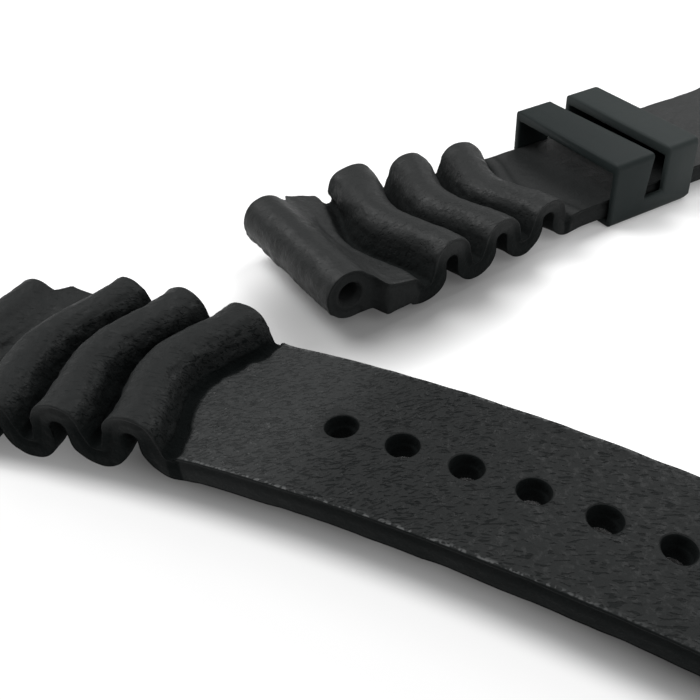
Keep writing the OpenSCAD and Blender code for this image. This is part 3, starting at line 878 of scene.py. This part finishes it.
def strap_rubber(name, shine):
    material, shader, start = new_material(name, Specular_IOR_Level=shine)
    place = start.node("ShaderNodeTexCoord", output="Object")

    def stored(mark):
        return start.node("ShaderNodeAttribute", {"attribute_name": mark}, output="Fac")

    # Short creases: the peaks of a noise that is stretched along one direction and a little bent
    def creases(turn, size, low, high):
        along = start.node("ShaderNodeMapping", {"vector_type": "TEXTURE"},
                           {"Vector": place, "Rotation": (0, 0, turn), "Scale": (1, 0.24, 0.5)})
        spots = start.node("ShaderNodeTexNoise", None, {
            "Vector": along, "Scale": 1 / (size * MM), "Detail": 0.5, "Distortion": 0.3})
        return spots.ease(low, high)

    grain = stored("grain")
    bare, coarse = grain.ease(0.1, 0.95), grain.ease(0.8, 1.0)
    # Painted shade from the rule, and full painted shade inside the holes, where the grain is below
    # 0
    hollow = stored("hollow").math("MAXIMUM", 1 - grain.ease(-0.25, -0.05))
    crease = creases(*long_creases).math("MAXIMUM", creases(*cross_creases) * bare) * bare
    crease = crease.math("MAXIMUM", creases(*root_creases) * coarse * 0.7)
    pebble = speckle(start, place, pebble_size, 2.0, 0.6)
    peak = pebble.ease(0.5, 0.62) * bare
    rim_highlight = stored("rim") * speckle(start, place, rim_highlight_size, 1.0).ease(0.46, 0.58)
    fine = speckle(start, place, fine_size, 2.0, 0.6)
    shade = speckle(start, place, cloud_size)
    dent = speckle(start, place, dent_size, 3.0, 0.6)
    # Creases are darker, painted shade darkens hollows and the tail half, and coarse grain by the
    # root is paler
    paler_grain = coarse * (1 - hollow.ease(0.0, 0.15))
    dark = crease * (0.5 + 0.3 * coarse) + shade * 0.15 + hollow * 0.9 - rim_highlight * 0.4
    colour = mixed(start, dark, rubber_tone, crease_tone)
    # The serrated painted highlight on the band's rims, and the paler coarse grain, lean towards a
    # light grey
    colour = mixed(start, (rim_highlight * 0.8).math("MAXIMUM", paler_grain * 0.15), colour, rim_highlight_tone)
    gloss = 0.44 + 0.1 * shade + 0.1 * crease + 0.05 * fine + 0.4 * hollow - 0.2 * peak
    normal = bumped(start, (1 - crease, crease_depth),
                    (pebble * (0.25 * bare + coarse), pebble_depth),
                    (dent * (0.45 + 0.55 * hollow), dent_depth), (fine, fine_depth))
    feed(shader, Base_Color=colour, Roughness=gloss, Normal=normal)
    return material


tail_rubber = strap_rubber("tail_rubber", 0.095)
buckle_side_rubber = strap_rubber("buckle_side_rubber", 0.145)
print("material:", tail_rubber.name, len(tail_rubber.node_tree.nodes), "nodes")

# %% [markdown]
# ## Keeper and steel finishes
# The keeper is a smoother silicone, faintly blue-green, and its second loop is painted paler, which
# is painted light. The buckle is brushed along the strap, and the spring bar is duller turned steel.
# An anisotropic shader alone shows no lines up close, so a noise that is stretched along X draws
# them in roughness and bump.

# %% The keeper's rubber
keeper_dark, keeper_pale = (0.008, 0.0115, 0.0115), (0.02, 0.025, 0.0245)
second_loop_x = (47.0, 54.0)


def keeper_rubber():
    """Smooth, cloudy and faintly blue-green, with painted light that makes the second loop paler."""
    material, shader, start = new_material("keeper_rubber", Specular_IOR_Level=0.1)
    place = start.node("ShaderNodeTexCoord", output="Object")
    cloud, fine = speckle(start, place, 6, 3.0), speckle(start, place, 0.14)
    along = place.node("ShaderNodeSeparateXYZ", None, {"Vector": place}) / MM
    # The second loop is painted paler, as painted light, and the cloud varies the tone at random
    cloud_and_painted_light = 0.3 * cloud + 0.6 * along.ease(*second_loop_x)
    feed(shader, Base_Color=mixed(start, cloud_and_painted_light, keeper_dark, keeper_pale),
         Roughness=0.5 + 0.12 * cloud, Normal=bumped(start, (fine, 0.01), (cloud, 0.15)))
    return material


smooth_rubber = keeper_rubber()
print("material:", smooth_rubber.name, len(smooth_rubber.node_tree.nodes), "nodes")


# %% Steel
def steel(name, tone, rough):
    """Satin steel: fine brushing along X in roughness and bump."""
    material, shader, start = new_material(name, Metallic=1.0)
    place = start.node("ShaderNodeTexCoord", output="Object")
    brush = start.node("ShaderNodeMapping", None, {"Vector": place, "Scale": (0.06, 1, 1)})
    lines, cloud = speckle(start, brush, 0.09), speckle(start, place, 4, 3.0)
    dark = tuple(0.82 * t for t in tone)
    feed(shader, Base_Color=mixed(start, cloud * 0.6 + lines * 0.3, tone, dark),
         Roughness=rough + 0.16 * lines + 0.06 * cloud, Normal=bumped(start, (lines, 0.004)))
    return material


frame_steel = steel("buckle_steel", (0.62, 0.62, 0.63), 0.2)
pin_steel = steel("bar_steel", (0.5, 0.5, 0.52), 0.28)
print("materials:", frame_steel.name, pin_steel.name)

# %% [markdown]
# ## The two halves in place
# The buckle half lies flat with its lug bore at the origin. The tail half keeps the arch that it
# got on a wrist: it lies on its lug tube and its tip, and is turned beside the other one. A bend
# added afterwards would stretch the folds, so the rule gives the arch too, and only the place and
# the turn are left for a matrix.

# %% Where the tail half lies
turn_all = tail_len / arch_r
rise = arch_r + bore_z - arch_r * math.cos(turn_all)
run = arch_r * math.sin(turn_all)
lug_tilt = math.atan2(rise, run) - math.asin(tube_r / math.hypot(rise, run))
tail_spot, tail_turn = (-40.5, 6.6), -60
tail_place = Matrix.Translation([v * MM for v in (*tail_spot, table_z + tube_r)]) @ \
    Matrix.Rotation(math.radians(tail_turn), 4, "Z")
print("the arch is tilted by", round(math.degrees(lug_tilt), 2), "degrees")

# %% Build both halves
# The strip has no round tip, so its rule for one starts a metre away, where no point is
no_round_end = 1.0
tail = strap_half("tail_strap_rubber", [lug_module, tail_module], {
    "Arched": True, "Hole count": hole_count, "Fold drop": 0.3 * MM,
    "End at": (tail_len - tip_half) * MM, "End half width": tip_half * MM,
    "Round from": (tail_len - tip_half) * MM, "Lug tilt": lug_tilt, "First lean": 0.0,
    "Lump height": 0.2 * MM, "Wrinkle height": 0.5 * MM, "Seed": 3.0}, tail_rubber, tail_place)
strip = strap_half("buckle_strap_rubber", [lug_module, strip_module], {
    "Arched": False, "Hole count": 0, "Fold drop": 0.45 * MM,
    "End at": (bar_x + end_r) * MM, "End half width": end_half * MM,
    "Round from": no_round_end, "Lug tilt": 0.0, "First lean": 1.1 * MM,
    "Lump height": 0.18 * MM, "Wrinkle height": 0.3 * MM, "Seed": 8.0},
    buckle_side_rubber, Matrix.Identity(4))


# %% Cut the notch for the tongue
def box_object(name, low, high):
    """A box between two corners, in millimetres."""
    mesh = bpy.data.meshes.new(name)
    work = bmesh.new()
    bmesh.ops.create_cube(work, size=1.0)
    for v in work.verts:
        v.co = Vector([(a + b) / 2 + c * (b - a) for a, b, c in zip(low, high, v.co)]) * MM
    work.to_mesh(mesh)
    work.free()
    obj = bpy.data.objects.new(name, mesh)
    bpy.context.scene.collection.objects.link(obj)
    return obj


def cut_away(obj, *tools):
    """Subtracts the tools from the object's mesh and deletes them."""
    for tool in tools:
        cutter = obj.modifiers.new("cut", "BOOLEAN")
        cutter.operation, cutter.object, cutter.solver = "DIFFERENCE", tool, "EXACT"
    bpy.context.view_layer.update()
    mesh = bpy.data.meshes.new_from_object(obj.evaluated_get(bpy.context.evaluated_depsgraph_get()))
    obj.modifiers.clear()
    obj.data = mesh
    for tool in tools:
        bpy.data.objects.remove(tool)


# The cutter stands out past the strip's end, above it and below it
notch = box_object("notch", (bar_x - notch_len, -notch_half, -9), (bar_x + 4, notch_half, 9))
cut_away(strip, notch)
strip.data.set_sharp_from_angle(angle=math.radians(50))
print("notched strip:", len(strip.data.polygons), "faces")

# %% [markdown]
# ## The keeper
# Two loops share a floor and the lower part of their side walls. Separate bent strips would leave
# seams that the moulding doesn't have, so it is cut from one block with a few straight cuts. Its
# soft edges come from a Bevel modifier, whose width follows a weight on each edge: generous under
# the end that faces the buckle, smaller on the outer long edges, and small everywhere else.

# %% Keeper block and its cuts
keeper_x, keeper_len, loop_1, loop_gap = 42.6, 15.5, 6.2, 3.5
keeper_half, keeper_in_half, keeper_h = 10.87, 9.87, 9.77
keeper_floor, keeper_roof, sill_h, far_sill, roof_lip = 1.0, 1.6, 2.9, 0.6, 1.05
heel_r, heel_weight, long_weight, small_weight, cut_half = 2.6, 1.0, 0.36, 0.14, 12
keeper_end, keeper_top, gap_x = keeper_x + keeper_len, table_z + keeper_h, keeper_x + loop_1


def keeper_block():
    """The block with its tunnel and its slanted slit."""
    piece = box_object("keeper_loops", (keeper_x, -keeper_half, table_z),
                       (keeper_end, keeper_half, keeper_top))
    tunnel = box_object("tunnel", (keeper_x - 1, -keeper_in_half, table_z + keeper_floor),
                        (keeper_end + 1, keeper_in_half, keeper_top - keeper_roof))
    slit = box_object("slit", (gap_x, -cut_half, table_z + sill_h),
                      (gap_x + loop_gap, cut_half, keeper_top + 1))
    for v in slit.data.vertices:
        if v.co.y > 0 and v.co.z < (keeper_top - 1) * MM:
            v.co.z += far_sill * MM
        if v.co.x < (gap_x + 1) * MM and v.co.y < 0 and v.co.z > 0:
            v.co.x += roof_lip * MM
    cut_away(piece, tunnel, slit)
    return piece


# %% The keeper's soft edges
def same(*pairs):
    """Whether the numbers in each pair are equal to a hundredth of a millimetre."""
    return all(abs(a - b) < 0.01 for a, b in pairs)


def soften_keeper(piece):
    work = bmesh.new()
    work.from_mesh(piece.data)
    weight = work.edges.layers.float.new("bevel_weight_edge")
    for e in work.edges:
        if e.calc_face_angle(0) < 0.5:
            continue
        a, b = (v.co / MM for v in e.verts)
        outer = same((abs(a.y), keeper_half), (abs(b.y), keeper_half))
        level = same((a.z, b.z)) and (same((a.z, keeper_top)) or same((a.z, table_z)))
        heel = same((a.x, keeper_end), (b.x, keeper_end), (a.z, table_z), (b.z, table_z))
        long_edge = outer and level and abs(a.x - b.x) > 0.1
        e[weight] = heel_weight if heel else long_weight if long_edge else small_weight
    work.to_mesh(piece.data)
    work.free()
    bevel = piece.modifiers.new("soft edges", "BEVEL")
    bevel.limit_method, bevel.width, bevel.segments = "WEIGHT", heel_r * MM, 6
    bevel.use_clamp_overlap = False
    for polygon in piece.data.polygons:
        polygon.use_smooth = True


keeper = keeper_block()
soften_keeper(keeper)
keeper.data.materials.clear()
keeper.data.materials.append(smooth_rubber)
print("keeper:", len(keeper.data.polygons), "faces before its soft edges")

# %% [markdown]
# ## Buckle and pins
# The frame and the tongue are rigid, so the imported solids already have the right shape, but a real
# polished part has broken edges that catch the light. A merged copy of each solid gets a small
# Bevel on its true edges only. The spring bar's parts stay as they are, in duller steel.

# %% Steel parts
def broken_edges(node, name, width, angle):
    """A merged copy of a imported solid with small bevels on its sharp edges."""
    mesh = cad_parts[node].data.copy()
    work = bmesh.new()
    work.from_mesh(mesh)
    bmesh.ops.remove_doubles(work, verts=work.verts, dist=0.001 * MM)
    bmesh.ops.dissolve_limit(work, angle_limit=math.radians(1), verts=work.verts, edges=work.edges)
    work.to_mesh(mesh)
    work.free()
    obj = bpy.data.objects.new(name, mesh)
    bpy.context.scene.collection.objects.link(obj)
    bevel = obj.modifiers.new("broken edges", "BEVEL")
    bevel.limit_method, bevel.angle_limit = "ANGLE", math.radians(angle)
    bevel.width, bevel.segments, bevel.harden_normals = width * MM, 3, True
    mesh.materials.clear()
    mesh.materials.append(frame_steel)
    for polygon in mesh.polygons:
        polygon.use_smooth = True
    return obj


buckle = broken_edges("buckle_frame", "buckle_frame_polished", 0.3, 35)
tongue = broken_edges("buckle_tongue", "buckle_tongue_polished", 0.2, 35)
for node in ("bar_tube", "bar_spring", "bar_plunger_left", "bar_plunger_right"):
    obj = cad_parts[node]
    for slot in obj.material_slots:
        slot.material = pin_steel
    print(node, "keeps its solid, in", pin_steel.name)

# %% [markdown]
# ## Every piece on its body
# The imported model moves as seven bodies, such as the buckle that turns on its bar. Each new piece
# rides on the body of the solid that it stands for, and that solid is hidden. Parenting by hand
# would move the pieces too, and these calls do just that, through an empty for each body.

# %% Ride, replace and finish
for piece, body, node, slot in ((tail, "tail_half", "tail_strap", "strap_rubber"),
                                (strip, "buckle_half", "buckle_strap", "strap_rubber"),
                                (keeper, "keeper", "keeper", "keeper_rubber"),
                                (buckle, "buckle", "buckle_frame", "buckle_steel"),
                                (tongue, "tongue", "buckle_tongue", "buckle_steel")):
    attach(piece, body)
    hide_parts(node)
    print(piece.name, "rides on", body)
for blank in (fold, hole):
    bpy.data.objects.remove(blank)

# %% [markdown]
# ## The white table
# The strap lies on a white surface under wide soft light, which the photograph shows almost white,
# with a soft shade under and beside the strap. More light would bleach the rubber, so for the
# camera the floor partly glows: fully far away, mostly on the near side of the tail half, and
# hardly elsewhere, which leaves the real shadows there. Its own colour helps them in two places.
# It is dark under the arch, and an Ambient Occlusion node takes that away when the tail half is
# lifted. A paler pool lies round the other half's lug end.

# %% The floor's shade
# Spans in millimetres along and across the tail half, and the reach of its shade on the floor
under_near, under_far = (-14.3, -8.4), (3.5, 8.0)
under_root, under_tip = (12.0, 34.0), (100.0, 118.0)
floor_bend, sky_reach, open_sky = 420, 26, (0.62, 0.92)
pool_middle, pool_half, pool_fade, pool_share = (6.0, -8.0), (24.0, 14.0), (0.1, 1.5), 0.6
glow_line, far_half, far_fade = (-16.5, -12.5), (300.0, 300.0), (0.2, 1.0)
least_glow, near_glow = 0.12, 0.74
floor_tone, shade_tone, floor_half = (0.86, 0.86, 0.86), (0.012, 0.012, 0.012), 1.5


def floor_shares(start):
    """How dark the floor is, and how much of it may glow, as links."""
    place = start.node("ShaderNodeTexCoord", output="Object")
    parts = place.node("ShaderNodeSeparateXYZ", None, {"Vector": place}).socket.node.outputs
    x, y = Link(start.tree, parts[0]) / MM, Link(start.tree, parts[1]) / MM

    def oval(middle, half):
        dx, dy = (x - middle[0]) / half[0], (y - middle[1]) / half[1]
        return dx * dx + dy * dy

    u, v, turn = x - tail_spot[0], y - tail_spot[1], math.radians(tail_turn)
    along = u * math.cos(turn) + v * math.sin(turn)
    across = v * math.cos(turn) - u * math.sin(turn)
    off = across - along * (tail_len - along) / floor_bend
    under = off.ease(*under_near) * (1 - off.ease(*under_far))
    under = under * along.ease(*under_root) * (1 - along.ease(*under_tip))
    sky = start.node("ShaderNodeAmbientOcclusion", {"samples": 8},
                     {"Distance": sky_reach * MM}, output="AO")
    under = under * (1 - sky.ease(*open_sky))
    pool = pool_share * (1 - oval(pool_middle, pool_half).ease(*pool_fade))
    glow = least_glow + near_glow * (1 - off.ease(*glow_line))
    far_glow = oval((0.0, 0.0), far_half).ease(*far_fade)
    return under.math("MAXIMUM", pool), glow.math("MAXIMUM", far_glow)


# %% Floor and world
def white_floor():
    material, shader, start = new_material("white_table", Roughness=0.9, Specular_IOR_Level=0.1)
    shaded, clear = floor_shares(start)
    feed(shader, Base_Color=mixed(start, shaded, floor_tone, shade_tone))
    rays = start.node("ShaderNodeLightPath").socket.node.outputs
    seen, glossy = (Link(start.tree, rays[name]) for name in ("Is Camera Ray", "Is Glossy Ray"))
    glow = start.node("ShaderNodeEmission", None, {"Color": (1, 1, 1, 1), "Strength": 1.0})
    mix = start.node("ShaderNodeMixShader", None, {
        0: seen.math("MAXIMUM", glossy) * clear * (1 - shaded),
        1: Link(start.tree, shader.outputs[0]), 2: glow})
    out = start.tree.nodes["Material Output"]
    start.tree.links.new(mix.socket, out.inputs["Surface"])
    mesh = bpy.data.meshes.new("white_table")
    corners = [(sx * floor_half, sy * floor_half, table_z * MM)
               for sx, sy in ((-1, -1), (1, -1), (1, 1), (-1, 1))]
    mesh.from_pydata(corners, [], [(0, 1, 2, 3)])
    mesh.materials.append(material)
    floor = bpy.data.objects.new("white_table", mesh)
    bpy.context.scene.collection.objects.link(floor)


def white_world(light):
    """A white world for the camera, which lights the scene with this lower strength."""
    world = bpy.data.worlds.new("studio")
    bpy.context.scene.world = world
    world.use_nodes = True
    back = world.node_tree.nodes["Background"]
    start = Link(world.node_tree)
    rays = start.node("ShaderNodeLightPath").socket.node.outputs
    strength = light + Link(start.tree, rays["Is Camera Ray"]) * (1 - light)
    start.tree.links.new(strength.socket, back.inputs["Strength"])
    back.inputs["Color"].default_value = (1, 1, 1, 1)


world_light = 0.36
white_floor()
white_world(world_light)
print("table at", table_z, "mm, world light", world_light)

# %% [markdown]
# ## Light and camera
# A single lamp overhead would light both flanks of a fold alike. Here one wide softbox stands
# behind to the left and a weaker one behind to the right, above the strap, so that crests and
# edges shine on their far side and the walls that face the camera stay dark. A third, weak and
# low, fills from the front.

# %% Softboxes
def softbox(name, place, aim, size, power):
    light = bpy.data.lights.new(name, "AREA")
    light.shape, light.size, light.size_y, light.energy = "RECTANGLE", size, size, power
    obj = bpy.data.objects.new(name, light)
    obj.location = place
    obj.rotation_euler = (Vector(aim) - Vector(place)).to_track_quat("-Z", "Y").to_euler()
    bpy.context.scene.collection.objects.link(obj)


middle_spot = (-0.005, 0.0, 0.0)
softbox("back_light", (-0.2, 0.33, 0.54), middle_spot, 0.4, 4.3)
softbox("side_light", (0.44, 0.14, 0.46), middle_spot, 0.4, 2.2)
softbox("fill_light", (0.1, -0.5, 0.3), middle_spot, 0.5, 1.5)

# %% Camera
# Place and turn come from matching the strap's own sizes to the photograph's perspective
camera_spot = Vector((-51.76, -97.64, 71.03)) * MM
heading, elevation, roll = (0.5098, 0.8603), 0.6667, -0.0319
focal_length, sensor_width, clip_near, clip_far = 52.69, 36, 0.005, 20
ahead = Vector((heading[0] * math.cos(elevation), heading[1] * math.cos(elevation),
                -math.sin(elevation))).normalized()
side = ahead.cross(Vector((0, 0, 1))).normalized()
upward = side.cross(ahead)
right = math.cos(roll) * side + math.sin(roll) * upward
upward = -math.sin(roll) * side + math.cos(roll) * upward
lens = bpy.data.cameras.new("camera")
lens.sensor_width, lens.lens = sensor_width, focal_length
lens.clip_start, lens.clip_end = clip_near, clip_far
camera = bpy.data.objects.new("camera", lens)
camera.matrix_world = Matrix((
    (right.x, upward.x, -ahead.x, camera_spot.x), (right.y, upward.y, -ahead.y, camera_spot.y),
    (right.z, upward.z, -ahead.z, camera_spot.z), (0, 0, 0, 1)))
bpy.context.scene.collection.objects.link(camera)
bpy.context.scene.camera = camera
bpy.context.scene.view_settings.view_transform = "Standard"
print("camera", round(camera_spot.length / MM), "mm from the origin, lens", focal_length, "mm")
